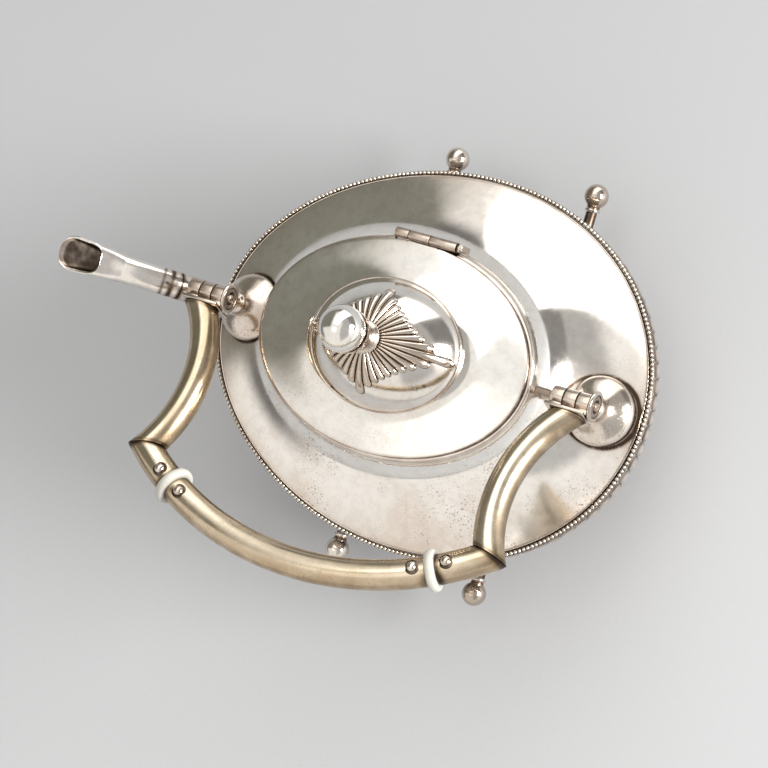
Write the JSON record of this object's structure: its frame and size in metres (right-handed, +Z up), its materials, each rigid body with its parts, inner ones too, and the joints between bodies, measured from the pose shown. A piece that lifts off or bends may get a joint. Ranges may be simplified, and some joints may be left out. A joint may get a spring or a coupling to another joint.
{
  "type": "swing-handled oval teapot",
  "caption": "Low oval silver-plated teapot with a straight spout, a hinged domed lid with a ball finial, a folding swing handle and ball-ended side supports.",
  "frame": {"origin": "middle of the flat base plate's underside", "axes": "+Z up; -X towards the spout; +Y towards the lid hinge; the handle lies folded towards -Y"},
  "size_m": [0.2674, 0.1908, 0.1517],
  "materials": {
    "body_silver": "silver plate on nickel silver, polished, lightly tarnished brown in the recesses",
    "lid_silver": "silver plate on nickel silver, polished, fine scratches",
    "fitting_silver": "silver plate on cast nickel silver, polished, dark in the joints",
    "handle_silver": "silver plate on nickel silver tube, worn to a slightly golden tone",
    "ivory": "off-white insulating rings, smooth, faintly yellowed"
  },
  "bodies": {
    "pot": {"lower_bowl": "body_silver", "base_plate": "body_silver", "shoulder": "body_silver", "bead_rim": "body_silver", "neck_collar": "body_silver", "spout_lower": "body_silver", "spout_upper": "body_silver", "boss_front": "fitting_silver", "post_front": "fitting_silver", "pivot_bolt_front": "fitting_silver", "lug_rod_front_right": "fitting_silver", "lug_ball_front_right": "fitting_silver", "lug_rod_front_left": "fitting_silver", "lug_ball_front_left": "fitting_silver", "boss_back": "fitting_silver", "post_back": "fitting_silver", "pivot_bolt_back": "fitting_silver", "lug_rod_back_right": "fitting_silver", "lug_ball_back_right": "fitting_silver", "lug_rod_back_left": "fitting_silver", "lug_ball_back_left": "fitting_silver", "lid_hinge_seat": "fitting_silver", "lid_hinge_pin": "fitting_silver"},
    "lid": {"lid_plate": "lid_silver", "lid_bezel": "lid_silver", "lid_dome": "lid_silver", "calyx": "lid_silver", "finial_collar": "lid_silver", "finial_ball": "lid_silver", "finial_nut": "lid_silver", "lid_hinge_leaf": "fitting_silver"},
    "handle": {"grip_bar": "handle_silver", "handle_arm_front": "handle_silver", "handle_arm_back": "handle_silver", "handle_corner_front": "handle_silver", "handle_corner_back": "handle_silver", "handle_fitting_front": "fitting_silver", "handle_fitting_back": "fitting_silver", "insulator_pin_front_inner": "fitting_silver", "insulator_pin_front_outer": "fitting_silver", "insulator_pin_back_inner": "fitting_silver", "insulator_pin_back_outer": "fitting_silver", "insulator_front": "ivory", "insulator_back": "ivory"}
  },
  "joints": [
    {"name": "handle_swing", "type": "hinge", "parent": "pot", "child": "handle", "pos_m": [0, 0, 0.1008], "axis": [-1, 0, 0], "range_deg": [0, 90]},
    {"name": "lid_hinge", "type": "hinge", "parent": "pot", "child": "lid", "pos_m": [-0.0003, 0.0456, 0.0932], "axis": [-1, 0, 0], "range_deg": [0, 100]}
  ]
}
